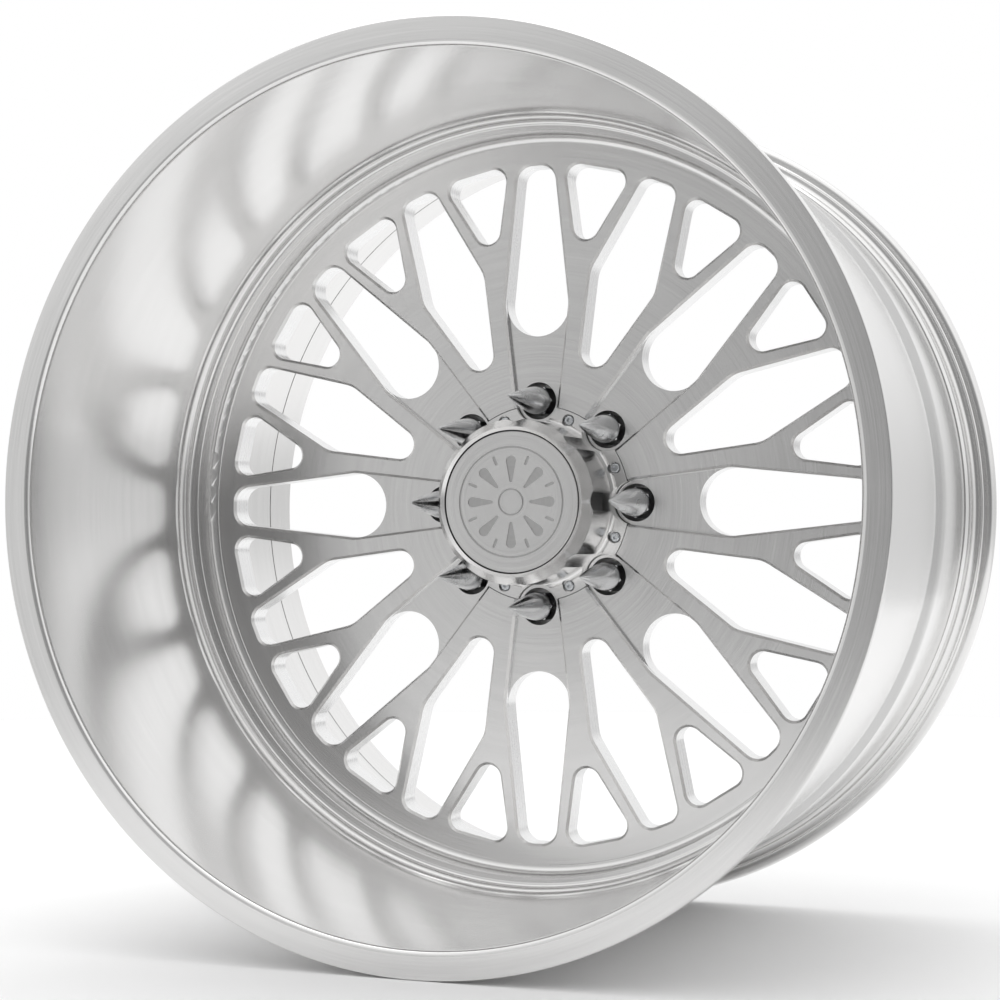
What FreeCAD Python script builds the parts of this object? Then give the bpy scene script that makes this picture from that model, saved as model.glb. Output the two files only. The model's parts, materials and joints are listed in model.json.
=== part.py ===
import FreeCAD, Part
import math
import os
import Sketcher

# A 26 x 16 inch forged truck wheel for an eight-stud, 170 mm hub.
# Origin: centre of the hub bore on the mounting pad. The wheel's axis is Y, and its outboard face
# looks towards -Y. +Z is up. Millimetres.

DOCUMENT = FreeCAD.newDocument("ForgedWheel")
SHEET = DOCUMENT.addObject("Spreadsheet::Sheet", "Sizes")

DRIVING_SIZES = {
    # rim
    "flange_radius": 347.5,
    "bead_radius": 330.2,
    "lip_front": -317.3,
    "lip_inner_radius": 330.2,
    "lip_thickness": 12.0,
    "lip_edge": 1.2,
    "dish_mouth_radius": 325.8,
    "dish_floor": -106.0,
    "barrel_bore_radius": 317.5,
    "barrel_waist_radius": 323.0,
    "barrel_waist": -33.8,
    "barrel_rear_radius": 327.5,
    "seam": 70.7,
    "seam_half_gap": 0.6,
    "seam_groove": 2.0,
    "rear_flange": 111.7,
    # forged centre
    "stations": 8,
    "face": -66.5,
    "spoke_thickness": 23.1,
    "window_edge": 2.0,
    "ring_step": 0.4,
    "ring_step_radius": 297.0,
    "shoulder_radius": 304.0,
    "shoulder_fillet": 6.6,
    "shoulder_edge": 0.5,
    "centre_front": -90.0,
    "centre_rear": -14.0,
    "centre_rim_bore": 300.0,
    "land_radius": 308.5,
    "weld_crest": 4.0,
    "pad_radius": 108.0,
    "pad_root_radius": 119.0,
    "hub_bore_radius": 62.45,
    "relief_depth": 5.7,
    "relief_inner_radius": 18.4,
    "relief_outer_radius": 27.6,
    "window_inner_circle": 166.0,
    # lugs
    "lug_circle_radius": 85.0,
    "stud_hole_radius": 8.0,
    "seat_base": -18.0,
    "seat_mouth_radius": 11.5,
    "socket_radius": 15.5,
    "nut_flats": 22.0,
    "nut_front": -64.8,
    "nut_thread_radius": 6.3,
    "spike_tip": -130.3,
    "spike_root_radius": 12.0,
    "spike_root_edge": 0.4,
    "spike_spigot_radius": 3.9,
    # cap
    "cap_radius": 67.2,
    "cap_front": -125.9,
    "bezel_crest_radius": 60.5,
    "bezel_depth": 10.2,
    "cap_bore_radius": 61.0,
    "cap_fillet": 4.0,
    "cap_flange_radius": 80.5,
    "cap_flange_thickness": 9.8,
    "cap_gap": 0.6,
    "collar_radius": 17.8,
    "socket_clearance_radius": 19.7,
    "medallion_front": -124.0,
    "medallion_radius": 56.9,
    "medallion_thickness": 5.6,
    "medallion_gap": 1.0,
    "engraving_depth": 0.6,
    "screw_circle_radius": 73.6,
    "screw_head_radius": 4.4,
    "screw_head_depth": 4.2,
    "screw_radius": 2.4,
    # valve
    "valve_station": 22.0,
    "valve_hole_radius": 5.75,
    "valve_stem_radius": 5.2,
    "valve_thread_radius": 3.85,
    "valve_outer_seat": 325.0,
    "valve_inner_seat": 318.2,
    "valve_mouth": 294.0,
}


def combined(first, sign, second, number):
    texts = [part.formula if isinstance(part, Size) else repr(float(part)) for part in (first, second)]
    return Size(number, "(" + texts[0] + " " + sign + " " + texts[1] + ")")


def plain(value):
    return value.number if isinstance(value, Size) else float(value)


class Size:
    """A number that keeps the sheet formula it was worked out with."""

    def __init__(self, number, formula):
        self.number = float(number)
        self.formula = formula

    def __add__(self, other):
        return combined(self, "+", other, self.number + plain(other))

    def __radd__(self, other):
        return combined(other, "+", self, plain(other) + self.number)

    def __sub__(self, other):
        return combined(self, "-", other, self.number - plain(other))

    def __rsub__(self, other):
        return combined(other, "-", self, plain(other) - self.number)

    def __mul__(self, other):
        return combined(self, "*", other, self.number * plain(other))

    def __rmul__(self, other):
        return combined(other, "*", self, plain(other) * self.number)

    def __truediv__(self, other):
        return combined(self, "/", other, self.number / plain(other))

    def __neg__(self):
        return combined(0.0, "-", self, -self.number)


class SizeSheet:
    """The sheet's rows, one alias each, as attributes."""

    def __init__(self, rows):
        for row, (alias, number) in enumerate(rows.items(), start=1):
            SHEET.set("A%d" % row, alias)
            SHEET.set("B%d" % row, str(number))
            SHEET.setAlias("B%d" % row, alias)
            setattr(self, alias, Size(number, "Sizes." + alias))
        DOCUMENT.recompute()


S = SizeSheet(DRIVING_SIZES)
STATION_STEP = 360.0 / S.stations.number


def bind(thing, field, value):
    """Give a property its size, with the sheet's formula when it has one."""
    if isinstance(value, Size):
        thing.setExpression(field, value.formula)
    else:
        setattr(thing, field, value)


def origin_feature(body, role):
    return [item for item in body.Origin.OriginFeatures if item.Role == role][0]


def new_body(label):
    body = DOCUMENT.addObject("PartDesign::Body", label)
    body.Label = label
    return body


def new_sketch(body, role, offset=None):
    sketch = body.newObject("Sketcher::SketchObject", body.Name + "_sketch")
    sketch.AttachmentSupport = [(origin_feature(body, role), "")]
    sketch.MapMode = "FlatFace"
    if offset is not None:
        sketch.AttachmentOffset = offset
    return sketch


def fix_number(sketch, constraint, value):
    index = sketch.addConstraint(constraint)
    if isinstance(value, Size):
        sketch.setExpression("Constraints[%d]" % index, value.formula)


def fix_point(sketch, edge, end, point):
    """Hold one end of an edge at a place given by two sizes."""
    for axis, value, line in (("DistanceX", point[0], -2), ("DistanceY", point[1], -1)):
        if abs(plain(value)) < 1e-9:
            sketch.addConstraint(Sketcher.Constraint("PointOnObject", edge, end, line))
        else:
            constraint = Sketcher.Constraint(axis, -1, 1, edge, end, plain(value))
            fix_number(sketch, constraint, value)


def arc_between(start, end, radius, bulge):
    """The minor arc between two points; bulge +1 puts its centre on the left of the chord."""
    chord = end.sub(start)
    half = chord.Length / 2.0
    rise = math.sqrt(max(radius * radius - half * half, 0.0))
    left = FreeCAD.Vector(-chord.y, chord.x, 0).normalize()
    centre = start.add(end).multiply(0.5).add(left.multiply(rise * bulge))
    first = math.atan2(start.y - centre.y, start.x - centre.x)
    last = math.atan2(end.y - centre.y, end.x - centre.x)
    circle = Part.Circle(centre, FreeCAD.Vector(0, 0, 1), radius)
    if bulge > 0:
        return Part.ArcOfCircle(circle, first, last), 1, 2
    return Part.ArcOfCircle(circle, last, first), 2, 1


def draw_outline(sketch, corners):
    """A closed outline. A corner is (x, y), or (x, y, radius, bulge) where an arc leads to it."""
    count = len(corners)
    edges = []
    for number, corner in enumerate(corners):
        before = corners[number - 1]
        start = FreeCAD.Vector(plain(before[0]), plain(before[1]), 0)
        end = FreeCAD.Vector(plain(corner[0]), plain(corner[1]), 0)
        if len(corner) == 2:
            edges.append((sketch.addGeometry(Part.LineSegment(start, end)), 1, 2))
        else:
            arc, first, last = arc_between(start, end, plain(corner[2]), corner[3])
            edges.append((sketch.addGeometry(arc), first, last))
    for number, corner in enumerate(corners):
        edge, first, last = edges[number]
        following = edges[(number + 1) % count]
        sketch.addConstraint(Sketcher.Constraint("Coincident", edge, last, following[0], following[1]))
        fix_point(sketch, edge, last, corner)
        if len(corner) == 4:
            fix_number(sketch, Sketcher.Constraint("Radius", edge, plain(corner[2])), corner[2])


def draw_belt(sketch, rollers):
    """The outline of a belt pulled round rollers (x, y, radius), listed anticlockwise."""
    count = len(rollers)
    places = [FreeCAD.Vector(plain(r[0]), plain(r[1]), 0) for r in rollers]
    radii = [plain(r[2]) for r in rollers]
    lines = []
    for number in range(count):
        after = (number + 1) % count
        run = places[after].sub(places[number])
        heading = math.atan2(run.y, run.x)
        tilt = math.asin((radii[number] - radii[after]) / run.Length)
        outward = heading - math.pi / 2.0 + tilt
        normal = FreeCAD.Vector(math.cos(outward), math.sin(outward), 0)
        start = places[number].add(FreeCAD.Vector(normal).multiply(radii[number]))
        end = places[after].add(FreeCAD.Vector(normal).multiply(radii[after]))
        lines.append((sketch.addGeometry(Part.LineSegment(start, end)), outward))
    for number, roller in enumerate(rollers):
        circle = Part.Circle(places[number], FreeCAD.Vector(0, 0, 1), radii[number])
        first = lines[number - 1][1]
        last = lines[number][1]
        arc = sketch.addGeometry(Part.ArcOfCircle(circle, first, last))
        sketch.addConstraint(Sketcher.Constraint("Tangent", lines[number - 1][0], 2, arc, 1))
        sketch.addConstraint(Sketcher.Constraint("Tangent", arc, 2, lines[number][0], 1))
        fix_point(sketch, arc, 3, roller)
        fix_number(sketch, Sketcher.Constraint("Radius", arc, radii[number]), roller[2])


def draw_circle(sketch, x, y, radius):
    circle = Part.Circle(FreeCAD.Vector(plain(x), plain(y), 0), FreeCAD.Vector(0, 0, 1), plain(radius))
    edge = sketch.addGeometry(circle)
    fix_point(sketch, edge, 3, (x, y))
    fix_number(sketch, Sketcher.Constraint("Radius", edge, plain(radius)), radius)


def add_revolution(body, corners):
    """Turn an outline of (place along Y, radius) corners about the body's Y axis."""
    sketch = new_sketch(body, "YZ_Plane")
    draw_outline(sketch, corners)
    feature = body.newObject("PartDesign::Revolution", body.Name + "_turned")
    feature.Profile = sketch
    feature.ReferenceAxis = (sketch, ["H_Axis"])
    feature.Angle = 360.0
    return feature


def turned(label, corners):
    body = new_body(label)
    add_revolution(body, corners)
    return body


def station_groove(body, centre, corners):
    """Bore a stepped hole round a line parallel to Y that crosses X at centre."""
    sketch = new_sketch(body, "XY_Plane")
    low = min(plain(corner[1]) for corner in corners)
    high = max(plain(corner[1]) for corner in corners)
    axis = Part.LineSegment(FreeCAD.Vector(plain(centre), low, 0), FreeCAD.Vector(plain(centre), high, 0))
    line = sketch.addGeometry(axis, True)
    fix_point(sketch, line, 1, (centre, low))
    fix_point(sketch, line, 2, (centre, high))
    draw_outline(sketch, corners)
    feature = body.newObject("PartDesign::Groove", body.Name + "_bored")
    feature.Profile = sketch
    feature.ReferenceAxis = (sketch, ["Axis0"])
    feature.Angle = 360.0
    return feature


def front_offset(place, turn):
    """Where a front-view sketch sits: its plane at Y = place, turned about the wheel's axis."""
    spin = FreeCAD.Rotation(FreeCAD.Vector(0, 0, 1), turn)
    return FreeCAD.Placement(FreeCAD.Vector(0, 0, -plain(place)), spin)


def front_pocket(body, place, depth, draw, turn=0.0):
    """Cut from Y = place towards +Y by depth, through what draw puts in the sketch."""
    sketch = new_sketch(body, "XZ_Plane", front_offset(place, turn))
    if isinstance(place, Size):
        sketch.setExpression(".AttachmentOffset.Base.z", (-place).formula)
    draw(sketch)
    feature = body.newObject("PartDesign::Pocket", body.Name + "_pocket")
    feature.Profile = sketch
    bind(feature, "Length", depth)
    return feature


def repeat_round(body, features):
    """Repeat features at every station round the wheel's axis."""
    pattern = body.newObject("PartDesign::PolarPattern", body.Name + "_pattern")
    pattern.Originals = features
    pattern.Axis = (origin_feature(body, "Y_Axis"), [""])
    pattern.Angle = 360.0
    bind(pattern, "Occurrences", S.stations)
    body.Tip = pattern
    return pattern


def ring_of(label, master, count, first_angle):
    """Equal pieces round the wheel's axis, as separate solids of one node."""
    copies = []
    for number in range(count):
        turn = FreeCAD.Rotation(FreeCAD.Vector(0, 1, 0), first_angle + number * 360.0 / count)
        copy = master.Shape.copy()
        copy.Placement = FreeCAD.Placement(FreeCAD.Vector(), turn).multiply(copy.Placement)
        copies.append(copy)
    group = DOCUMENT.addObject("Part::Feature", label)
    group.Label = label
    group.Shape = Part.makeCompound(copies)
    return group


def hexagon(label, flats, start, length):
    """A hexagonal bar along Y, with one flat facing +X."""
    bar = DOCUMENT.addObject("Part::Prism", label)
    bar.Polygon = 6
    bind(bar, "Circumradius", flats / math.sqrt(3.0))
    bind(bar, "Height", length)
    along_y = FreeCAD.Rotation(FreeCAD.Vector(1, 0, 0), -90.0)
    flat_out = FreeCAD.Rotation(FreeCAD.Vector(0, 0, 1), 30.0)
    bar.Placement = FreeCAD.Placement(FreeCAD.Vector(0, plain(start), 0), along_y.multiply(flat_out))
    return bar


def boolean(kind, label, base, tool):
    result = DOCUMENT.addObject("Part::" + kind, label)
    result.Label = label
    result.Base = base
    result.Tool = tool
    return result


# ---------------------------------------------------------------- rim

def outboard_barrel():
    flange_back = S.lip_front + S.lip_thickness
    return turned("outboard_barrel", [
        (S.seam - S.seam_half_gap, S.barrel_bore_radius),
        (S.seam - S.seam_half_gap, S.barrel_rear_radius),
        (S.barrel_waist + 21.0, S.barrel_rear_radius),
        (S.barrel_waist, S.barrel_waist_radius),
        (flange_back + 39.0, S.bead_radius - 0.2),
        (flange_back + 35.0, S.bead_radius + 1.2, 7.0, -1),
        (flange_back + 31.0, S.bead_radius, 7.0, 1),
        (flange_back + 9.0, S.bead_radius),
        (flange_back + 3.0, S.bead_radius + 6.0, 6.0, -1),
        (flange_back + 3.0, S.flange_radius - 4.5),
        (flange_back - 1.5, S.flange_radius, 4.5, 1),
        (S.lip_front + S.lip_edge, S.flange_radius),
        (S.lip_front, S.flange_radius - S.lip_edge, S.lip_edge, 1),
        (S.lip_front, S.lip_inner_radius),
        (S.lip_front + 4.4, S.dish_mouth_radius, 4.5, 1),
        (S.dish_floor, S.barrel_bore_radius),
    ])


def inboard_ring():
    return turned("inboard_ring", [
        (S.seam + S.seam_half_gap, S.barrel_bore_radius),
        (S.rear_flange - 1.5, S.barrel_bore_radius),
        (S.rear_flange, S.barrel_bore_radius + 1.5),
        (S.rear_flange, S.flange_radius - 2.5),
        (S.rear_flange - 2.5, S.flange_radius, 2.5, -1),
        (S.rear_flange - 6.0, S.flange_radius),
        (S.rear_flange - 12.0, S.flange_radius - 6.0, 6.0, 1),
        (S.rear_flange - 12.0, S.bead_radius + 9.4),
        (S.rear_flange - 14.0, S.bead_radius + 7.4, 2.0, -1),
        (S.rear_flange - 15.6, S.bead_radius + 5.8, 1.6, 1),
        (S.rear_flange - 15.6, S.bead_radius + 5.0),
        (S.rear_flange - 20.6, S.bead_radius, 5.0, -1),
        (S.seam + 3.4, S.bead_radius),
        (S.seam + S.seam_half_gap, S.bead_radius - 2.0),
    ])


def barrel_weld():
    return turned("barrel_weld", [
        (S.seam - S.seam_half_gap, S.barrel_bore_radius + S.seam_groove),
        (S.seam + S.seam_half_gap, S.barrel_bore_radius + S.seam_groove),
        (S.seam + S.seam_half_gap, S.barrel_rear_radius - S.seam_groove),
        (S.seam - S.seam_half_gap, S.barrel_rear_radius - S.seam_groove),
    ])


def centre_weld_front():
    crest = S.land_radius + S.weld_crest
    return turned("centre_weld_front", [
        (S.centre_front, S.barrel_bore_radius),
        (S.dish_floor, S.barrel_bore_radius),
        (S.dish_floor + 8.0, crest + 0.7, 9.6, -1),
        (S.dish_floor + 9.4, crest, 1.67, 1),
        (S.centre_front - S.weld_crest, crest),
        (S.centre_front, S.land_radius, S.weld_crest, -1),
    ])


def centre_weld_rear():
    return turned("centre_weld_rear", [
        (S.centre_rear, S.barrel_bore_radius),
        (S.centre_rear, S.barrel_bore_radius - 6.0),
        (S.centre_rear + 6.0, S.barrel_bore_radius),
    ])


# ---------------------------------------------------------------- forged centre

def centre_blank(body):
    back = S.face + S.spoke_thickness
    fillet_end = S.shoulder_radius - S.shoulder_fillet
    ring_top = S.face - S.ring_step
    return add_revolution(body, [
        (0.0, S.hub_bore_radius),
        (0.0, S.pad_radius),
        (back, S.pad_root_radius),
        (back, S.centre_rim_bore - 6.0),
        (back + 6.0, S.centre_rim_bore, 6.0, 1),
        (S.centre_rear, S.centre_rim_bore),
        (S.centre_rear, S.barrel_bore_radius),
        (S.centre_front, S.barrel_bore_radius),
        (S.centre_front, S.shoulder_radius + S.shoulder_edge),
        (S.centre_front + S.shoulder_edge, S.shoulder_radius),
        (ring_top - S.shoulder_fillet, S.shoulder_radius),
        (ring_top, fillet_end, S.shoulder_fillet, -1),
        (ring_top, S.ring_step_radius),
        (S.face, S.ring_step_radius - S.ring_step),
        (S.face, S.hub_bore_radius),
    ])


def draw_teardrop(sketch):
    draw_belt(sketch, [
        (S.window_inner_circle, 0.0, 27.5),
        (266.5, -3.4, 13.5),
        (266.5, 3.4, 13.5),
    ])


def draw_kite(sketch):
    draw_belt(sketch, [
        (134.0, 0.0, 12.5),
        (196.0, -4.0, 25.0),
        (270.0, -6.0, 11.0),
        (270.0, 6.0, 11.0),
        (196.0, 4.0, 25.0),
    ])


def draw_triangles(sketch):
    draw_belt(sketch, [(227.5, 43.5, 11.0), (268.0, 38.0, 11.0), (262.0, 67.0, 10.5)])
    draw_belt(sketch, [(227.5, -43.5, 11.0), (262.0, -67.0, 10.5), (268.0, -38.0, 11.0)])


def draw_relief(sketch):
    draw_belt(sketch, [
        (S.lug_circle_radius, 0.0, S.relief_inner_radius),
        (S.window_inner_circle, 0.0, S.relief_outer_radius),
    ])


def cap_outline(radius, collar):
    """A circle bitten by the collars round the lugs."""
    lug = S.lug_circle_radius.number
    across = (radius ** 2 - collar ** 2 + lug ** 2) / (2.0 * lug)
    half = math.degrees(math.acos(across / radius))
    corners = []
    for number in range(int(S.stations.number)):
        middle = number * STATION_STEP
        for angle, size, bulge in ((middle - half, radius, 1), (middle + half, collar, -1)):
            turn = math.radians(angle)
            corners.append((radius * math.cos(turn), radius * math.sin(turn), size, bulge))
    return corners


def front_edges(shape):
    """The window and relief edges that lie in the face plane."""
    names = []
    for number, edge in enumerate(shape.Edges, start=1):
        box = edge.BoundBox
        reach = max(math.hypot(vertex.X, vertex.Z) for vertex in edge.Vertexes)
        in_plane = abs(box.YMin - S.face.number) < 1e-4 and abs(box.YMax - S.face.number) < 1e-4
        if in_plane and S.cap_flange_radius.number + 2.0 < reach < S.ring_step_radius.number - 5.0:
            names.append("Edge%d" % number)
    return names


def forged_centre():
    body = new_body("forged_centre")
    centre_blank(body)
    lug = S.lug_circle_radius
    window_depth = S.spoke_thickness + 10.0
    relief = front_pocket(body, S.face, S.relief_depth, draw_relief)
    windows = [
        front_pocket(body, S.face - 5.0, window_depth, draw_teardrop),
        front_pocket(body, S.face - 5.0, window_depth, draw_kite, turn=STATION_STEP / 2.0),
        front_pocket(body, S.face - 5.0, window_depth, draw_triangles),
    ]
    seat_height = (S.seat_mouth_radius - S.stud_hole_radius) * math.sqrt(3.0)
    lug_hole = station_groove(body, lug, [
        (lug, S.face - 5.0),
        (lug + S.socket_radius, S.face - 5.0),
        (lug + S.socket_radius, S.seat_base - seat_height),
        (lug + S.seat_mouth_radius, S.seat_base - seat_height),
        (lug + S.stud_hole_radius, S.seat_base),
        (lug + S.stud_hole_radius, 5.0),
        (lug, 5.0),
    ])
    screw_hole = front_pocket(
        body, S.face, 26.0,
        lambda sketch: draw_circle(sketch, S.screw_circle_radius, 0.0, S.screw_radius + 0.1),
        turn=STATION_STEP / 2.0)
    repeat_round(body, [relief] + windows + [lug_hole, screw_hole])
    recess_radius = S.cap_flange_radius.number + S.cap_gap.number
    outline = cap_outline(recess_radius, S.collar_radius.number)
    recess = front_pocket(
        body, S.face, S.cap_flange_thickness + 0.2, lambda sketch: draw_outline(sketch, outline))
    DOCUMENT.recompute()
    chamfer = body.newObject("PartDesign::Chamfer", "forged_centre_window_edges")
    chamfer.Base = (recess, front_edges(recess.Shape))
    bind(chamfer, "Size", S.window_edge)
    body.Tip = chamfer
    return body


# ---------------------------------------------------------------- cap

def cap_body():
    body = new_body("cap_body")
    medallion_floor = S.medallion_front + S.medallion_thickness
    recess = S.medallion_radius + S.medallion_gap
    flange_rear = S.face + S.cap_flange_thickness
    add_revolution(body, [
        (flange_rear, S.cap_bore_radius),
        (flange_rear, S.cap_flange_radius),
        (S.face, S.cap_flange_radius),
        (S.face, S.cap_radius + S.cap_fillet),
        (S.face - S.cap_fillet, S.cap_radius, S.cap_fillet, 1),
        (S.cap_front + S.bezel_depth, S.cap_radius),
        (S.cap_front, S.bezel_crest_radius + 0.2),
        (S.cap_front, S.bezel_crest_radius - 0.2),
        (S.medallion_front, recess),
        (medallion_floor, recess),
        (medallion_floor, 0.0),
        (medallion_floor + 6.0, 0.0),
        (medallion_floor + 6.0, S.cap_bore_radius - 5.0),
        (medallion_floor + 11.0, S.cap_bore_radius, 5.0, -1),
    ])
    lug = S.lug_circle_radius
    upper = front_pocket(
        body, S.cap_front - 5.0, S.face - S.cap_front + 5.0,
        lambda sketch: draw_circle(sketch, lug, 0.0, S.socket_clearance_radius))
    collar = front_pocket(
        body, S.face - S.cap_fillet - 1.0, 30.0,
        lambda sketch: draw_circle(sketch, lug, 0.0, S.collar_radius + S.cap_gap))
    half_step = STATION_STEP / 2.0
    counterbore = front_pocket(
        body, S.face - 14.0, S.screw_head_depth + 14.0,
        lambda sketch: draw_circle(sketch, S.screw_circle_radius, 0.0, S.screw_head_radius + 0.7),
        turn=half_step)
    screw_hole = front_pocket(
        body, S.face - 2.0, 30.0,
        lambda sketch: draw_circle(sketch, S.screw_circle_radius, 0.0, S.screw_radius + 0.2),
        turn=half_step)
    repeat_round(body, [upper, collar, counterbore, screw_hole])
    back_holes = front_pocket(body, medallion_floor - 0.5, 12.0, draw_medallion_holes)
    body.Tip = back_holes
    return body


MEDALLION_SCREWS = 4
MEDALLION_SCREW_CIRCLE = 42.0
MEDALLION_SCREW_RADIUS = 2.0


def draw_medallion_holes(sketch, clearance=0.2):
    for number in range(MEDALLION_SCREWS):
        turn = math.radians(360.0 / MEDALLION_SCREWS * (number + 0.5))
        x = MEDALLION_SCREW_CIRCLE * math.cos(turn)
        y = MEDALLION_SCREW_CIRCLE * math.sin(turn)
        draw_circle(sketch, x, y, MEDALLION_SCREW_RADIUS + clearance)


def cap_medallion():
    body = new_body("cap_medallion")
    front = S.medallion_front
    back = front + S.medallion_thickness
    add_revolution(body, [
        (front, 0.0),
        (back, 0.0),
        (back, S.medallion_radius),
        (front + 0.5, S.medallion_radius),
        (front, S.medallion_radius - 0.5),
    ])
    front_pocket(body, back - 3.6, 6.0, lambda sketch: draw_medallion_holes(sketch, 0.05))
    groove = front_pocket(body, front, S.engraving_depth, draw_medallion_rings)
    body.Tip = groove
    petal = front_pocket(
        body, front, S.engraving_depth,
        lambda sketch: draw_belt(sketch, [(17.0, 0.0, 1.2), (33.0, 0.0, 4.2)]))
    notch = front_pocket(
        body, front, S.engraving_depth,
        lambda sketch: draw_belt(sketch, [(33.0, 0.0, 1.2), (38.5, 0.0, 1.2)]),
        turn=STATION_STEP / 2.0)
    repeat_round(body, [petal, notch])
    return body


def draw_medallion_rings(sketch):
    for radius in (45.0, 43.4, 11.0, 9.6):
        draw_circle(sketch, 0.0, 0.0, radius)


def medallion_seal():
    inner = S.medallion_radius
    outer = S.medallion_radius + S.medallion_gap
    return turned("medallion_seal", [
        (S.medallion_front + 1.6, inner),
        (S.medallion_front + 1.6, outer),
        (S.medallion_front + 3.6, outer),
        (S.medallion_front + 3.6, inner),
    ])


def cap_screws():
    head_seat = S.face + S.screw_head_depth
    blank = turned("cap_screw_blank", [
        (head_seat - 3.8, 0.0),
        (head_seat - 3.8, S.screw_head_radius - 1.6),
        (head_seat - 2.2, S.screw_head_radius, 2.2, -1),
        (head_seat, S.screw_head_radius),
        (head_seat, S.screw_radius),
        (head_seat + 17.0, S.screw_radius),
        (head_seat + 18.0, S.screw_radius - 0.9),
        (head_seat + 18.0, 0.0),
    ])
    socket = hexagon("cap_screw_socket", S.screw_radius * 1.25, head_seat - 5.0, 3.4)
    screw = boolean("Cut", "cap_screw", blank, socket)
    screw.Placement = FreeCAD.Placement(FreeCAD.Vector(S.screw_circle_radius.number, 0, 0), FreeCAD.Rotation())
    DOCUMENT.recompute()
    return ring_of("cap_screws", screw, int(S.stations.number), STATION_STEP / 2.0)


def medallion_screws():
    seat = S.medallion_front + S.medallion_thickness + 6.0
    screw = turned("medallion_screw", [
        (seat - 8.6, 0.0),
        (seat + 2.4, 0.0),
        (seat + 2.4, 2.6),
        (seat + 1.0, 3.8, 2.2, -1),
        (seat, 3.8),
        (seat, MEDALLION_SCREW_RADIUS),
        (seat - 8.6, MEDALLION_SCREW_RADIUS),
    ])
    screw.Placement = FreeCAD.Placement(FreeCAD.Vector(MEDALLION_SCREW_CIRCLE, 0, 0), FreeCAD.Rotation())
    DOCUMENT.recompute()
    return ring_of("medallion_screws", screw, MEDALLION_SCREWS, 180.0 / MEDALLION_SCREWS)


# ---------------------------------------------------------------- lug nuts

def lug_nuts():
    root3 = math.sqrt(3.0)
    half_flats = S.nut_flats / 2.0
    corner = S.nut_flats / root3
    cone_start = S.seat_base - (half_flats - S.stud_hole_radius) * root3
    cone_end = S.seat_base - 0.6 * root3
    blank = turned("lug_nut_blank", [
        (S.nut_front, S.spike_spigot_radius + 0.1),
        (S.nut_front, half_flats + 0.1),
        (S.nut_front + 1.0, corner + 0.1),
        (cone_start - 1.2, corner + 0.1),
        (cone_start - 1.2, half_flats),
        (cone_start, half_flats),
        (cone_end, S.stud_hole_radius + 0.6),
        (cone_end, S.nut_thread_radius),
        (S.nut_front + 11.0, S.nut_thread_radius),
        (S.nut_front + 9.0, S.spike_spigot_radius + 0.1),
    ])
    bar = hexagon("lug_nut_bar", S.nut_flats, S.nut_front - 1.0, 60.0)
    nut = boolean("Common", "lug_nut", blank, bar)
    nut.Placement = FreeCAD.Placement(FreeCAD.Vector(S.lug_circle_radius.number, 0, 0), FreeCAD.Rotation())
    DOCUMENT.recompute()
    return ring_of("lug_nuts", nut, int(S.stations.number), 0.0)


def lug_spikes():
    spike = turned("lug_spike", [
        (S.nut_front + 8.0, 0.0),
        (S.nut_front + 8.0, S.spike_spigot_radius),
        (S.nut_front, S.spike_spigot_radius),
        (S.nut_front, S.spike_root_radius - S.spike_root_edge),
        (S.nut_front - S.spike_root_edge, S.spike_root_radius, S.spike_root_edge, -1),
        (S.spike_tip + 0.25, 0.6, 500.0, 1),
        (S.spike_tip, 0.35),
        (S.spike_tip, 0.0),
    ])
    spike.Placement = FreeCAD.Placement(FreeCAD.Vector(S.lug_circle_radius.number, 0, 0), FreeCAD.Rotation())
    DOCUMENT.recompute()
    return ring_of("lug_spikes", spike, int(S.stations.number), 0.0)


# ---------------------------------------------------------------- tyre valve
# Valve pieces are turned about Y, then stood along -Z: their place along Y is the distance from the axle.

VALVE_PLACEMENT = FreeCAD.Placement(
    FreeCAD.Vector(0, S.valve_station.number, 0), FreeCAD.Rotation(FreeCAD.Vector(1, 0, 0), -90.0))


def valve_piece(label, corners):
    piece = turned(label, corners)
    piece.Placement = VALVE_PLACEMENT
    return piece


def drilled_barrel(barrel):
    """The barrel with the valve's hole and its two flat seats."""
    tool = valve_piece("valve_hole", [
        (S.valve_inner_seat - 8.0, 0.0),
        (S.valve_inner_seat - 8.0, 10.5),
        (S.valve_inner_seat, 10.5),
        (S.valve_inner_seat, S.valve_hole_radius),
        (S.valve_outer_seat, S.valve_hole_radius),
        (S.valve_outer_seat, 11.5),
        (S.valve_outer_seat + 12.0, 11.5),
        (S.valve_outer_seat + 12.0, 0.0),
    ])
    barrel.Label = "outboard_barrel_blank"
    return boolean("Cut", "outboard_barrel", barrel, tool)


def valve_stem():
    base = S.valve_outer_seat + 2.4
    return valve_piece("valve_stem", [
        (S.valve_mouth, 2.65),
        (S.valve_mouth, S.valve_thread_radius - 0.4),
        (S.valve_mouth + 0.4, S.valve_thread_radius),
        (S.valve_mouth + 11.5, S.valve_thread_radius),
        (S.valve_mouth + 12.5, S.valve_stem_radius),
        (base, S.valve_stem_radius),
        (base, 9.6),
        (base + 2.4, 9.6),
        (base + 3.2, 8.8),
        (base + 3.2, 1.3),
        (S.valve_mouth + 17.0, 1.3),
        (S.valve_mouth + 17.0, 2.65),
    ])


def valve_grommet():
    seat = S.valve_outer_seat
    return valve_piece("valve_grommet", [
        (seat - 4.0, S.valve_stem_radius),
        (seat - 4.0, S.valve_hole_radius),
        (seat, S.valve_hole_radius),
        (seat, 9.0),
        (seat + 2.4, 9.0),
        (seat + 2.4, S.valve_stem_radius),
    ])


def valve_washer():
    seat = S.valve_inner_seat
    return valve_piece("valve_washer", [
        (seat - 1.4, S.valve_stem_radius + 0.1),
        (seat, S.valve_stem_radius + 0.1),
        (seat, 8.6),
        (seat - 1.4, 8.6),
    ])


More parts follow.
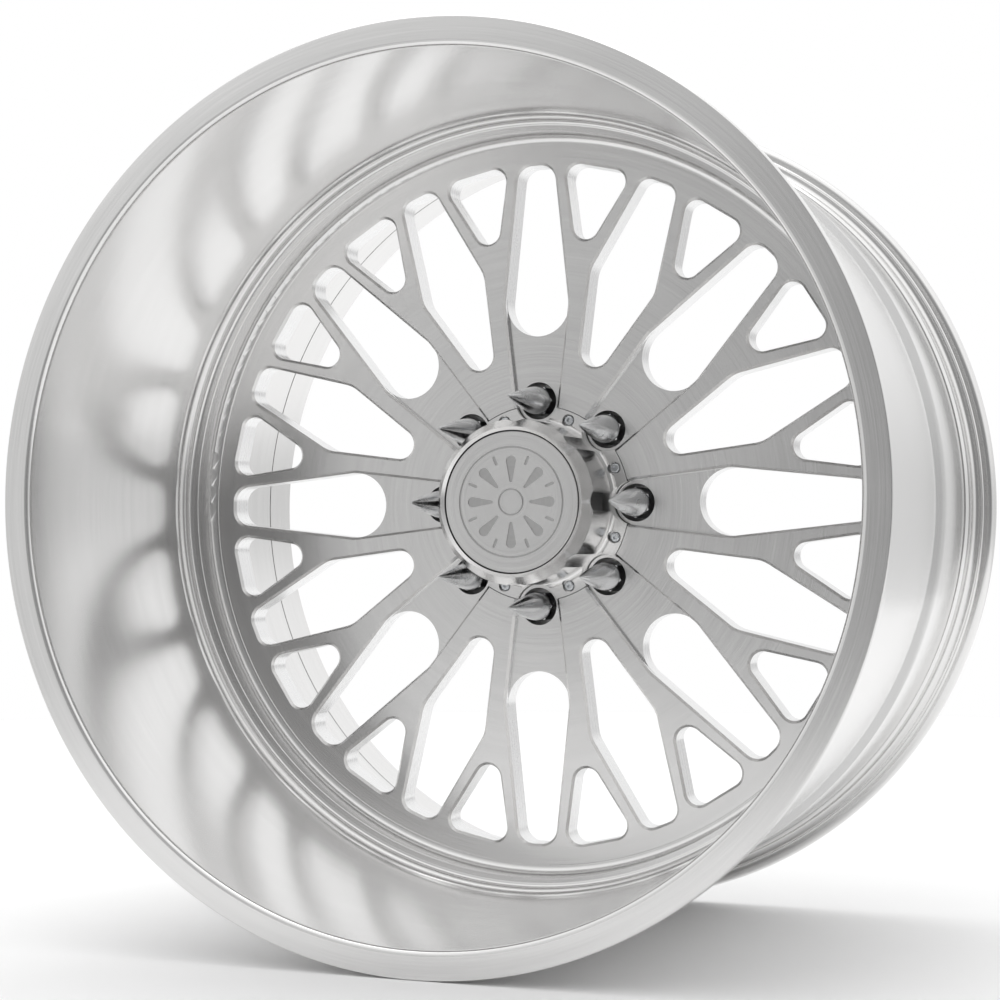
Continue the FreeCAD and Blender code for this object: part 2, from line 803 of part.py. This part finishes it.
def valve_nut():
    seat = S.valve_inner_seat - 1.4
    blank = turned("valve_nut_blank", [
        (seat - 4.4, S.valve_stem_radius),
        (seat, S.valve_stem_radius),
        (seat, 8.2),
        (seat - 3.7, 8.2),
        (seat - 4.4, 7.1),
    ])
    bar = hexagon("valve_nut_bar", S.nut_flats * (14.0 / 22.0), seat - 10.0, 20.0)
    nut = boolean("Common", "valve_nut", blank, bar)
    nut.Placement = VALVE_PLACEMENT
    return nut


def valve_core_body():
    front = S.valve_mouth + 2.0
    return valve_piece("valve_core_body", [
        (front, 1.75),
        (front, 2.6),
        (front + 11.0, 2.6),
        (front + 11.0, 0.7),
        (front + 8.4, 0.7),
        (front + 8.4, 1.75),
    ])


def valve_core_pin():
    front = S.valve_mouth + 0.6
    shoulder = S.valve_mouth + 4.0
    poppet = S.valve_mouth + 13.05
    return valve_piece("valve_core_pin", [
        (front, 0.0),
        (front, 0.6),
        (shoulder, 0.6),
        (shoulder, 1.5),
        (shoulder + 0.7, 1.5),
        (shoulder + 0.7, 0.6),
        (poppet, 0.6),
        (poppet, 1.9),
        (poppet + 1.5, 1.9),
        (poppet + 1.5, 0.0),
    ])


def valve_core_spring():
    """A coil of wire between the pin's shoulder and the floor of the core."""
    wire = 0.16
    start = S.valve_mouth.number + 4.7 + wire + 0.02
    end = S.valve_mouth.number + 10.4 - wire - 0.02
    helix = DOCUMENT.addObject("Part::Helix", "valve_core_spring_path")
    helix.Radius = 1.25
    helix.Pitch = 0.85
    helix.Height = end - start
    section = DOCUMENT.addObject("Part::Circle", "valve_core_spring_wire")
    section.Radius = wire
    section.Placement = FreeCAD.Placement(
        FreeCAD.Vector(1.25, 0, 0), FreeCAD.Rotation(FreeCAD.Vector(1, 0, 0), 90.0))
    coil = DOCUMENT.addObject("Part::Sweep", "valve_core_spring")
    coil.Label = "valve_core_spring"
    coil.Sections = [section]
    coil.Spine = (helix, ["Edge1"])
    coil.Solid = True
    coil.Frenet = True
    downwards = FreeCAD.Rotation(FreeCAD.Vector(1, 0, 0), 180.0)
    coil.Placement = FreeCAD.Placement(FreeCAD.Vector(0, S.valve_station.number, -start), downwards)
    return coil


def valve_cap():
    closed_end = S.valve_mouth - 3.2
    return valve_piece("valve_cap", [
        (closed_end, 0.0),
        (closed_end, 3.9),
        (closed_end + 1.2, 5.1, 1.3, -1),
        (closed_end + 13.6, 5.1),
        (closed_end + 13.6, S.valve_thread_radius + 0.05),
        (closed_end + 1.6, S.valve_thread_radius + 0.05),
        (closed_end + 1.6, 0.0),
    ])


def valve_cap_seal():
    return valve_piece("valve_cap_seal", [
        (S.valve_mouth - 1.5, 1.6),
        (S.valve_mouth - 1.5, S.valve_thread_radius - 0.1),
        (S.valve_mouth - 0.1, S.valve_thread_radius - 0.1),
        (S.valve_mouth - 0.1, 1.6),
    ])


# ---------------------------------------------------------------- the whole wheel

def build():
    return [
        drilled_barrel(outboard_barrel()),
        inboard_ring(),
        barrel_weld(),
        centre_weld_front(),
        centre_weld_rear(),
        forged_centre(),
        cap_body(),
        cap_medallion(),
        medallion_seal(),
        cap_screws(),
        medallion_screws(),
        lug_nuts(),
        lug_spikes(),
        valve_stem(),
        valve_grommet(),
        valve_washer(),
        valve_nut(),
        valve_core_body(),
        valve_core_pin(),
        valve_core_spring(),
        valve_cap(),
        valve_cap_seal(),
    ]


def check_and_write(nodes):
    DOCUMENT.recompute()
    for thing in DOCUMENT.Objects:
        if "Invalid" in thing.State or "Error" in thing.State:
            raise RuntimeError("failed: " + thing.Label + " " + str(thing.State))
    for node in nodes:
        if node.Shape.isNull() or not node.Shape.isValid():
            raise RuntimeError("bad shape: " + node.Label)
    os.makedirs("parts", exist_ok=True)
    for node in nodes:
        node.Shape.exportStep("parts/" + node.Label + ".step")
        box = node.Shape.BoundBox
        print("%-20s %2d solids %12.1f mm3  x %.1f..%.1f y %.1f..%.1f z %.1f..%.1f" % (
            node.Label, len(node.Shape.Solids), node.Shape.Volume,
            box.XMin, box.XMax, box.YMin, box.YMax, box.ZMin, box.ZMax))


check_and_write(build())
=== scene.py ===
"""A forged truck wheel in brushed aluminium: deep dish, forked spokes, tall hub cap and spiked nuts."""

import json
import math

import bmesh
import bpy
from mathutils import Matrix, Vector


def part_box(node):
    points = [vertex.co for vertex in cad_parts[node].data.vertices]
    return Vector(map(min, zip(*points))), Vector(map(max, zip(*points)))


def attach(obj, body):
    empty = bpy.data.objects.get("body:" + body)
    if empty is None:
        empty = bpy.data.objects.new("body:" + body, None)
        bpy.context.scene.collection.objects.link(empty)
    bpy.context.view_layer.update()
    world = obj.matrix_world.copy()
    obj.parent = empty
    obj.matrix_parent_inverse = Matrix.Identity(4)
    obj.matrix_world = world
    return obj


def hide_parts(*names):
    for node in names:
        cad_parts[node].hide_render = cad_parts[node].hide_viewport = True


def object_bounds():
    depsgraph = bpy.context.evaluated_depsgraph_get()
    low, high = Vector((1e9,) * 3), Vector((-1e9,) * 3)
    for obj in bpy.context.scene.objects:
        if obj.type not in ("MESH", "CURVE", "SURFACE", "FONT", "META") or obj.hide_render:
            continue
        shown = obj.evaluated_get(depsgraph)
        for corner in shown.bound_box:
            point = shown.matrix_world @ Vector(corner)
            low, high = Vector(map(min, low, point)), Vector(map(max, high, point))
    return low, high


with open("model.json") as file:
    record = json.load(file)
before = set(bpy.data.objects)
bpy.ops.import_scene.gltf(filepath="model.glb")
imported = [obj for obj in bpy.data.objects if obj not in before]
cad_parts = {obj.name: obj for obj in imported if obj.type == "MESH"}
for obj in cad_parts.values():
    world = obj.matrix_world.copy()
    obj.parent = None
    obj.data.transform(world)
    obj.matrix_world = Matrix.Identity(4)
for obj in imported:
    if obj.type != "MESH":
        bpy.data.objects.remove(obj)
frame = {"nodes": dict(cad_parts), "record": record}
cad_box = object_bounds()

NODES = frame["nodes"]
BODY_OF = {
    node: body
    for body, members in frame["record"]["behaviour"]["bodies"].items() for node in members}
MATERIALS = {}
MM = 0.001
AXLE = Vector((0.0, 1.0, 0.0))
CENTRE = Vector((0.0, 0.0, 0.0))

# round sections: steps in a full turn, and an angle where no hole or screw cuts the section
AROUND = 288
QUIET_ANGLE = math.radians(187.0)

# mesh work
SAME_POINT = 0.01 * MM
ON_PLANE = 0.001 * MM
FLAT = math.radians(0.3)
STRAIGHT = math.radians(0.5)

# where one finish ends and the next begins
LIP_DEPTH = 1.0 * MM
TURNED_RING_WIDTH = 21.0 * MM
POCKET_WIDTH = 36.0 * MM
ENGRAVING_FROM = 0.2 * MM
ENGRAVING_TO = 1.0 * MM

VALVE_HOLE_RADIUS = 6.3 * MM

# the camera: metres from the disc, its place round the wheel, and a small turn off its middle
CAMERA_DISTANCE = 1.7838
CAMERA_SWING = math.radians(21.325)
CAMERA_RISE = math.radians(-1.358)
CAMERA_PAN = math.radians(0.283)
CAMERA_TILT = math.radians(-0.048)
CAMERA_ROLL = math.radians(-0.079)
SENSOR_WIDTH = 36.0
FOCAL_LENGTH = 80.17


# ------------------------------------------------------------ shader maths

class Wire:
    """A value in a shader. Each operator adds the Math node that it stands for."""

    def __init__(self, finish, socket):
        self.finish = finish
        self.socket = socket

    def _maths(self, operation, first, second):
        return self.finish.node("ShaderNodeMath", {"operation": operation}, {0: first, 1: second})

    def __add__(self, other):
        return self._maths("ADD", self, other)

    def __sub__(self, other):
        return self._maths("SUBTRACT", self, other)

    def __rsub__(self, other):
        return self._maths("SUBTRACT", other, self)

    def __mul__(self, other):
        return self._maths("MULTIPLY", self, other)

    def __truediv__(self, other):
        return self._maths("DIVIDE", self, other)

    def __pow__(self, other):
        return self._maths("POWER", self, other)

    __radd__ = __add__
    __rmul__ = __mul__


class Finish:
    """A node tree that is being wired up, for a material or for the sky of the studio."""

    def __init__(self, tree):
        self.tree = tree
        self.tree.nodes.clear()

    def node(self, kind, settings=None, inputs=None, out=0):
        """Adds a node of that kind, sets it up, feeds its sockets and gives back the output asked for."""
        made = self.tree.nodes.new(kind)
        for name, value in (settings or {}).items():
            setattr(made, name, value)
        for name, value in (inputs or {}).items():
            if isinstance(value, Wire):
                self.tree.links.new(value.socket, made.inputs[name])
            else:
                made.inputs[name].default_value = value
        if len(made.outputs) == 0:
            return None
        return Wire(self, made.outputs[out])

    def place(self):
        """The point on the piece, in metres."""
        return self.node("ShaderNodeTexCoord", out="Object")

    def split(self, vector):
        parts = self.node("ShaderNodeSeparateXYZ", inputs={0: vector})
        outputs = parts.socket.node.outputs
        return [Wire(self, outputs[axis]) for axis in ("X", "Y", "Z")]

    def vector(self, x, y, z):
        return self.node("ShaderNodeCombineXYZ", inputs={0: x, 1: y, 2: z})

    def noise(self, vector, scale, detail=2.0, roughness=0.5):
        return self.node(
            "ShaderNodeTexNoise",
            inputs={"Vector": vector, "Scale": scale, "Detail": detail, "Roughness": roughness})

    def span(self, value, from_low, from_high, to_low, to_high, shape="LINEAR"):
        """The value, taken from one range to another and held inside it."""
        return self.node(
            "ShaderNodeMapRange", {"interpolation_type": shape, "clamp": True},
            {"Value": value, "From Min": from_low, "From Max": from_high,
             "To Min": to_low, "To Max": to_high})

    def blend(self, factor, dark, light):
        """A colour between two, by a factor."""
        return self.node(
            "ShaderNodeMix", {"data_type": "RGBA"}, {"Factor": factor, 6: dark, 7: light}, out=2)


def grey(level, warmth=0.0):
    """An almost neutral colour; warmth tips it to yellow, and a negative one to blue."""
    return (level * (1.0 + warmth), level, level * (1.0 - warmth), 1.0)


def surface(colour, roughness, height=None, depth=0.0, **constants):
    """Ends a finish: the shader's varying colour and roughness, a bump, and its constant sockets."""
    finish = colour.finish
    inputs = {"Base Color": colour, "Roughness": roughness}
    if height is not None:
        inputs["Normal"] = finish.node("ShaderNodeBump", inputs={"Height": height, "Distance": depth})
    inputs.update({key.replace("_", " "): value for key, value in constants.items()})
    shader = finish.node("ShaderNodeBsdfPrincipled", inputs=inputs)
    finish.node("ShaderNodeOutputMaterial", inputs={"Surface": shader})


def new_finish(name):
    material = bpy.data.materials.new(name)
    material.use_nodes = True
    MATERIALS[name] = material
    return Finish(material.node_tree)


# ------------------------------------------------------------ metal finishes

def lathe_lines(finish, spacing, drift=14.0, detail=3.0):
    """Marks that run round the axle. They fade in and out along their way, as a tool's marks do."""
    x, y, z = finish.split(finish.place())
    radius = (x * x + z * z) ** 0.5
    along = x * drift + z * (drift * 0.7)
    return finish.noise(finish.vector(radius / spacing, y / spacing, along), 1.0, detail, 0.6)


def turned_alloy(name, light, dark, shine, swing, spacing, depth, bands=0.25, warmth=0.006):
    """Aluminium off the lathe, then brushed round: fine lines, broad faint bands and a soft haze."""
    finish = new_finish(name)
    fine = lathe_lines(finish, spacing)
    broad = lathe_lines(finish, spacing * 9.0, 5.0, 1.0)
    haze = finish.noise(finish.place(), 9.0, 3.0, 0.55)
    specks = finish.noise(finish.place(), 420.0, 2.0, 0.6)
    tone = finish.span(fine * (0.75 - bands) + broad * bands + haze * 0.25, 0.3, 0.7, 0.0, 1.0)
    colour = finish.blend(tone, grey(dark, warmth), grey(light, warmth))
    polish = finish.span(haze * 0.5 + fine * 0.4 + specks * 0.1, 0.3, 0.7, shine - swing, shine + swing)
    surface(colour, polish, fine, depth, Metallic=1.0)


def milled_alloy(name, light, dark, shine, step, depth):
    """Walls left by an end mill: short level steps, each with its own faint tone."""
    finish = new_finish(name)
    x, y, z = finish.split(finish.place())
    passes = finish.noise(finish.vector(x * 30.0, y / step, z * 30.0), 1.0, 2.0, 0.5)
    grain = finish.noise(finish.place(), 900.0, 2.0, 0.6)
    tone = finish.span(passes * 0.7 + grain * 0.3, 0.3, 0.7, 0.0, 1.0)
    colour = finish.blend(tone, grey(dark), grey(light))
    polish = finish.span(grain * 0.4 + passes * 0.6, 0.3, 0.7, shine - 0.05, shine + 0.06)
    surface(colour, polish, passes, depth, Metallic=1.0)


def polished_metal(name, light, dark, shine, warmth):
    """Plated steel: clear reflections, a little orange peel and a few dull finger marks."""
    finish = new_finish(name)
    peel = finish.noise(finish.place(), 260.0, 2.0, 0.5)
    marks = finish.noise(finish.place(), 60.0, 4.0, 0.6)
    dull = finish.span(marks, 0.5, 0.72, 0.0, 1.0)
    colour = finish.blend(dull, grey(light, warmth), grey(dark, warmth))
    polish = shine + dull * 0.12 + peel * 0.02
    surface(colour, polish, peel, 0.02 * MM, Metallic=1.0)


def plain_steel(name, light, dark, shine, warmth, depth=0.02):
    """Turned steel with a zinc or drawn skin: fine grain in all directions and duller patches."""
    finish = new_finish(name)
    grain = finish.noise(finish.place(), 1500.0, 3.0, 0.6)
    patches = finish.noise(finish.place(), 180.0, 3.0, 0.6)
    tone = finish.span(grain * 0.4 + patches * 0.6, 0.3, 0.7, 0.0, 1.0)
    colour = finish.blend(tone, grey(dark, warmth), grey(light, warmth))
    polish = finish.span(patches * 0.6 + grain * 0.4, 0.3, 0.7, shine - 0.07, shine + 0.1)
    surface(colour, polish, grain, depth * MM, Metallic=1.0)


def moulded_rubber(name):
    """Black rubber with a fine matt grain and paler dust."""
    finish = new_finish(name)
    grain = finish.noise(finish.place(), 1400.0, 3.0, 0.6)
    dust = finish.noise(finish.place(), 70.0, 4.0, 0.6)
    tone = finish.span(dust * 0.6 + grain * 0.4, 0.35, 0.75, 0.0, 1.0)
    colour = finish.blend(tone, grey(0.012), grey(0.035))
    polish = finish.span(grain, 0.3, 0.7, 0.62, 0.8)
    surface(colour, polish, grain, 0.06 * MM, Specular_IOR_Level=0.35)


def make_finishes():
    turned_alloy("rim_satin", 0.82, 0.74, 0.19, 0.03, 0.8 * MM, 0.005 * MM)
    turned_alloy("lip_brushed", 0.80, 0.66, 0.22, 0.04, 0.7 * MM, 0.010 * MM)
    turned_alloy("face_brushed", 0.80, 0.68, 0.24, 0.04, 0.9 * MM, 0.010 * MM)
    turned_alloy("cap_turned", 0.84, 0.74, 0.22, 0.04, 0.5 * MM, 0.006 * MM)
    turned_alloy("medallion_turned", 0.78, 0.66, 0.24, 0.04, 0.6 * MM, 0.009 * MM)
    turned_alloy("disc_engraved", 0.52, 0.42, 0.34, 0.04, 0.6 * MM, 0.009 * MM)
    turned_alloy("weld_dressed", 0.80, 0.70, 0.22, 0.05, 1.6 * MM, 0.012 * MM, bands=0.4)
    milled_alloy("window_milled", 0.86, 0.78, 0.27, 1.1 * MM, 0.012 * MM)
    # nut pocket walls: a real milled finish, but their much darker colour than the window walls is
    # painted shade in the recesses
    milled_alloy("pocket_milled_painted_shade", 0.62, 0.44, 0.34, 0.8 * MM, 0.02 * MM)
    polished_metal("nut_chrome", 0.72, 0.62, 0.2, -0.01)
    polished_metal("valve_nickel", 0.7, 0.6, 0.16, 0.02)
    plain_steel("screw_zinc", 0.7, 0.56, 0.24, -0.03)
    plain_steel("core_steel", 0.6, 0.5, 0.3, 0.0)
    plain_steel("core_brass", 0.62, 0.46, 0.28, 0.22)
    moulded_rubber("black_rubber")


# ------------------------------------------------------------ mesh work

def cad_copy(node):
    """The CAD piece's own shape, its loose triangles joined and its flat and ruled faces made whole."""
    shape = bmesh.new()
    shape.from_mesh(NODES[node].data)
    bmesh.ops.remove_doubles(shape, verts=shape.verts, dist=SAME_POINT)
    bmesh.ops.dissolve_limit(
        shape, angle_limit=FLAT, use_dissolve_boundaries=False,
        verts=shape.verts, edges=shape.edges, delimit={"NORMAL"})
    return shape


def outline(node, turn):
    """The section of a round piece, where a half plane from the axle cuts it at that angle."""
    toward = Vector((math.cos(turn), 0.0, math.sin(turn)))
    shape = bmesh.new()
    shape.from_mesh(NODES[node].data)
    bmesh.ops.remove_doubles(shape, verts=shape.verts, dist=SAME_POINT)
    bmesh.ops.bisect_plane(
        shape, geom=shape.verts[:] + shape.edges[:] + shape.faces[:], dist=ON_PLANE,
        plane_co=CENTRE, plane_no=AXLE.cross(toward), clear_inner=True, clear_outer=True)
    far_side = [v for v in shape.verts if v.co.dot(toward) < 0.0]
    bmesh.ops.delete(shape, geom=far_side, context="VERTS")
    bmesh.ops.remove_doubles(shape, verts=shape.verts, dist=SAME_POINT)
    in_line = [v for v in shape.verts
               if len(v.link_edges) == 2 and v.calc_edge_angle(math.pi) < STRAIGHT]
    bmesh.ops.dissolve_verts(shape, verts=in_line)
    return shape


def spin_round(shape, steps):
    bmesh.ops.spin(
        shape, geom=shape.verts[:] + shape.edges[:], cent=CENTRE, axis=AXLE,
        angle=math.tau, steps=steps, use_merge=True)
    bmesh.ops.recalc_face_normals(shape, faces=shape.faces)


def ease_edges(shape, width, sharper_than=50.0, segments=2):
    """Breaks the sharp edges, as a file or a tumbler does."""
    sharp = [e for e in shape.edges
             if len(e.link_faces) == 2 and e.calc_face_angle(0.0) > math.radians(sharper_than)]
    bmesh.ops.bevel(
        shape, geom=sharp, offset=width, segments=segments, profile=0.5, affect="EDGES",
        material=-1, clamp_overlap=False, loop_slide=True)


def add_piece(shape, name, node, finishes, chooser=None, crease=32.0):
    """Turns a finished shape into a piece that stands for a CAD node, on its body."""
    mesh = bpy.data.meshes.new(name)
    for finish in finishes:
        mesh.materials.append(MATERIALS[finish])
    if chooser:
        for face in shape.faces:
            face.material_index = chooser(face)
    shape.to_mesh(mesh)
    shape.free()
    for leftover in ("custom_normal", "UVMap"):
        if leftover in mesh.attributes:
            mesh.attributes.remove(mesh.attributes[leftover])
    mesh.polygons.foreach_set("use_smooth", [True] * len(mesh.polygons))
    mesh.set_sharp_from_angle(angle=math.radians(crease))
    piece = bpy.data.objects.new(name, mesh)
    bpy.context.scene.collection.objects.link(piece)
    flats = piece.modifiers.new("flat_faces_stay_flat", "WEIGHTED_NORMAL")
    flats.keep_sharp = True
    flats.weight = 80
    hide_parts(node)
    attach(piece, BODY_OF[node])
    return piece


def radius_of(point):
    return math.hypot(point.x, point.z)


def bore_out(piece, node, radius):
    """Drills a wall from the axle outwards, where another round piece passes through it."""
    low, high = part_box(node)
    middle = (low + high) / 2.0
    outwards = Vector((middle.x, 0.0, middle.z)).to_track_quat("Z", "Y").to_matrix().to_4x4()
    drill = bmesh.new()
    bmesh.ops.create_cone(
        drill, cap_ends=True, segments=48, radius1=radius, radius2=radius, depth=40.0 * MM,
        matrix=Matrix.Translation(middle) @ outwards)
    mesh = bpy.data.meshes.new("drill")
    drill.to_mesh(mesh)
    drill.free()
    cutter = bpy.data.objects.new("drill", mesh)
    bpy.context.scene.collection.objects.link(cutter)
    cut = piece.modifiers.new("valve_hole", "BOOLEAN")
    cut.object = cutter
    cut.operation = "DIFFERENCE"
    cut.solver = "EXACT"
    flats = piece.modifiers["flat_faces_stay_flat"]
    flats.show_viewport = False
    view = bpy.context.evaluated_depsgraph_get()
    drilled = bpy.data.meshes.new_from_object(piece.evaluated_get(view))
    piece.modifiers.remove(cut)
    flats.show_viewport = True
    piece.data = drilled
    bpy.data.objects.remove(cutter)


# ------------------------------------------------------------ pieces of the wheel

def rim_pieces():
    """The barrel, the rear ring and the three welds: sections spun round the axle."""
    lip_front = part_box("outboard_barrel")[0].y

    def lip_or_wall(face):
        middle = face.calc_center_median()
        return 1 if middle.y < lip_front + LIP_DEPTH else 0

    shell = outline("outboard_barrel", QUIET_ANGLE)
    spin_round(shell, AROUND)
    ease_edges(shell, 0.4 * MM, 40.0)
    barrel = add_piece(shell, "rim_shell", "outboard_barrel", ["rim_satin", "lip_brushed"], lip_or_wall)
    bore_out(barrel, "valve_grommet", VALVE_HOLE_RADIUS)
    ring = outline("inboard_ring", QUIET_ANGLE)
    spin_round(ring, AROUND)
    ease_edges(ring, 0.4 * MM, 40.0)
    add_piece(ring, "rear_rim_ring", "inboard_ring", ["rim_satin"])
    for node in ("barrel_weld", "centre_weld_front", "centre_weld_rear"):
        bead = outline(node, QUIET_ANGLE)
        spin_round(bead, AROUND)
        add_piece(bead, node + "_bead", node, ["weld_dressed"])


def centre_piece():
    """The spoked centre: turned face, milled windows, and nut pockets whose milled walls are painted
    darker as painted shade.
    """
    milled_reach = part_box("forged_centre")[1].x - TURNED_RING_WIDTH
    pocket_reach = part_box("cap_screws")[1].x + POCKET_WIDTH

    def turned_or_milled(face):
        reach = radius_of(face.calc_center_median())
        steep = abs(face.normal.y) < 0.5
        if steep and reach < milled_reach:
            # steep walls near the hub get the darker pocket finish: painted shade in the nut pockets over
            # a real milled finish
            return 2 if reach < pocket_reach else 1
        return 0

    add_piece(
        cad_copy("forged_centre"), "spoked_centre", "forged_centre",
        ["face_brushed", "window_milled", "pocket_milled_painted_shade"], turned_or_milled)


def hub_cap_pieces():
    """The tall cap, its disc with an engraved rosette, and the screws that hold both."""
    disc_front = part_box("cap_medallion")[0].y

    def turned_or_engraved(face):
        depth = face.calc_center_median().y - disc_front
        return 1 if ENGRAVING_FROM < depth < ENGRAVING_TO else 0

    disc = cad_copy("cap_medallion")
    ease_edges(disc, 0.08 * MM)
    add_piece(
        disc, "cap_disc", "cap_medallion",
        ["medallion_turned", "disc_engraved"], turned_or_engraved)
    add_piece(cad_copy("cap_body"), "hub_cap", "cap_body", ["cap_turned"], crease=20.0)
    for node, name in (("cap_screws", "cap_flange_screws"), ("medallion_screws", "disc_screws")):
        shape = cad_copy(node)
        ease_edges(shape, 0.15 * MM)
        add_piece(shape, name, node, ["screw_zinc"])


def lug_pieces():
    """The plated nuts, with eased edges, and the plain spikes on them."""
    nuts = cad_copy("lug_nuts")
    ease_edges(nuts, 0.25 * MM, 40.0)
    add_piece(nuts, "hex_lug_nuts", "lug_nuts", ["nut_chrome"])
    add_piece(cad_copy("lug_spikes"), "nut_spikes", "lug_spikes", ["nut_chrome"])


def valve_pieces():
    """The valve's outer pieces, with eased edges."""
    for node, name, finish in (
            ("valve_stem", "stem", "valve_nickel"),
            ("valve_grommet", "stem_grommet", "black_rubber"),
            ("valve_washer", "stem_washer", "valve_nickel"),
            ("valve_nut", "stem_nut", "valve_nickel"),
            ("valve_cap", "stem_cap", "valve_nickel")):
        shape = cad_copy(node)
        ease_edges(shape, 0.12 * MM)
        add_piece(shape, name, node, [finish])


def finish_kept_nodes():
    """Small inner pieces keep their CAD shape and get their finish."""
    for node, finish in (
            ("medallion_seal", "black_rubber"), ("valve_cap_seal", "black_rubber"),
            ("valve_core_body", "core_brass"), ("valve_core_pin", "core_steel"),
            ("valve_core_spring", "core_steel")):
        mesh = NODES[node].data
        mesh.materials.clear()
        mesh.materials.append(MATERIALS[finish])


# ------------------------------------------------------------ studio

def camera_axes(swing, rise, pan, tilt, roll):
    """The camera's right, up and back directions: round the wheel, then a small turn off its middle."""
    back = Vector((math.sin(swing) * math.cos(rise), -math.cos(swing) * math.cos(rise), math.sin(rise)))
    right = Vector((math.cos(swing), math.sin(swing), 0.0))
    up = back.cross(right)
    from_middle = back.copy()
    right, back = (
        right * math.cos(pan) - back * math.sin(pan), back * math.cos(pan) + right * math.sin(pan))
    up, back = (
        up * math.cos(tilt) - back * math.sin(tilt), back * math.cos(tilt) + up * math.sin(tilt))
    right, up = (
        right * math.cos(roll) + up * math.sin(roll), up * math.cos(roll) - right * math.sin(roll))
    return from_middle, Matrix((right, up, back)).transposed()


def set_camera():
    """A long lens, to the right of the axle and a touch below it."""
    middle = Vector((0.0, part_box("cap_medallion")[0].y, 0.0))
    from_middle, axes = camera_axes(CAMERA_SWING, CAMERA_RISE, CAMERA_PAN, CAMERA_TILT, CAMERA_ROLL)
    lens = bpy.data.cameras.new("camera")
    lens.sensor_width = SENSOR_WIDTH
    lens.lens = FOCAL_LENGTH
    camera = bpy.data.objects.new("camera", lens)
    camera.matrix_world = Matrix.Translation(middle + from_middle * CAMERA_DISTANCE) @ axes.to_4x4()
    bpy.context.scene.collection.objects.link(camera)
    bpy.context.scene.camera = camera


def set_sky():
    """A white studio with a grey flag in front on the right and a dimmer band level with the wheel."""
    world = bpy.data.worlds.new("studio")
    world.use_nodes = True
    bpy.context.scene.world = world
    sky = Finish(world.node_tree)
    x, y, z = sky.split(sky.node("ShaderNodeTexCoord", out="Generated"))
    flag_turn = math.radians(20.0)
    flag_shade = 0.3
    band_shade = 0.74
    overhead_glow = 1.2
    toward_flag = x * math.sin(flag_turn) + y * -math.cos(flag_turn)
    open_side = sky.span(toward_flag, 0.6, 0.95, 1.0, flag_shade, "SMOOTHSTEP")
    height = (z * z) ** 0.5
    dim_band = sky.span(height, 0.03, 0.25, band_shade, 1.0, "SMOOTHSTEP")
    overhead = sky.span(z, 0.2, 1.0, 1.0, overhead_glow, "SMOOTHSTEP")
    seen = sky.node("ShaderNodeLightPath", out="Is Camera Ray")
    glow = open_side * dim_band * overhead
    strength = seen + glow * (1.0 - seen)
    background = sky.node("ShaderNodeBackground", inputs={"Color": grey(1.0), "Strength": strength})
    sky.node("ShaderNodeOutputWorld", inputs={"Surface": background})


def add_softbox(name, place, size, power):
    """A square soft light that looks at the wheel."""
    lamp = bpy.data.lights.new(name, "AREA")
    lamp.shape = "SQUARE"
    lamp.size = size
    lamp.energy = power
    softbox = bpy.data.objects.new(name, lamp)
    softbox.location = place
    softbox.rotation_euler = (Vector(place) * -1.0).to_track_quat("-Z", "Y").to_euler()
    bpy.context.scene.collection.objects.link(softbox)


def lay_floor():
    """A pale round floor under the wheel."""
    finish = new_finish("studio_floor")
    specks = finish.noise(finish.place(), 14.0, 3.0, 0.5)
    colour = finish.blend(specks, grey(0.9), grey(0.92))
    surface(colour, finish.span(specks, 0.0, 1.0, 0.7, 0.8))
    shape = bmesh.new()
    bmesh.ops.create_circle(
        shape, cap_ends=True, segments=128, radius=2.4,
        matrix=Matrix.Translation((0.0, 0.0, cad_box[0].z)))
    mesh = bpy.data.meshes.new("floor")
    shape.to_mesh(mesh)
    shape.free()
    mesh.materials.append(MATERIALS["studio_floor"])
    floor = bpy.data.objects.new("floor", mesh)
    bpy.context.scene.collection.objects.link(floor)


bpy.context.scene.view_settings.view_transform = "Standard"
set_camera()
set_sky()
add_softbox("overhead_softbox", (-0.4, 0.2, 3.0), 2.6, 25.0)
lay_floor()
make_finishes()
rim_pieces()
centre_piece()
hub_cap_pieces()
lug_pieces()
valve_pieces()
finish_kept_nodes()
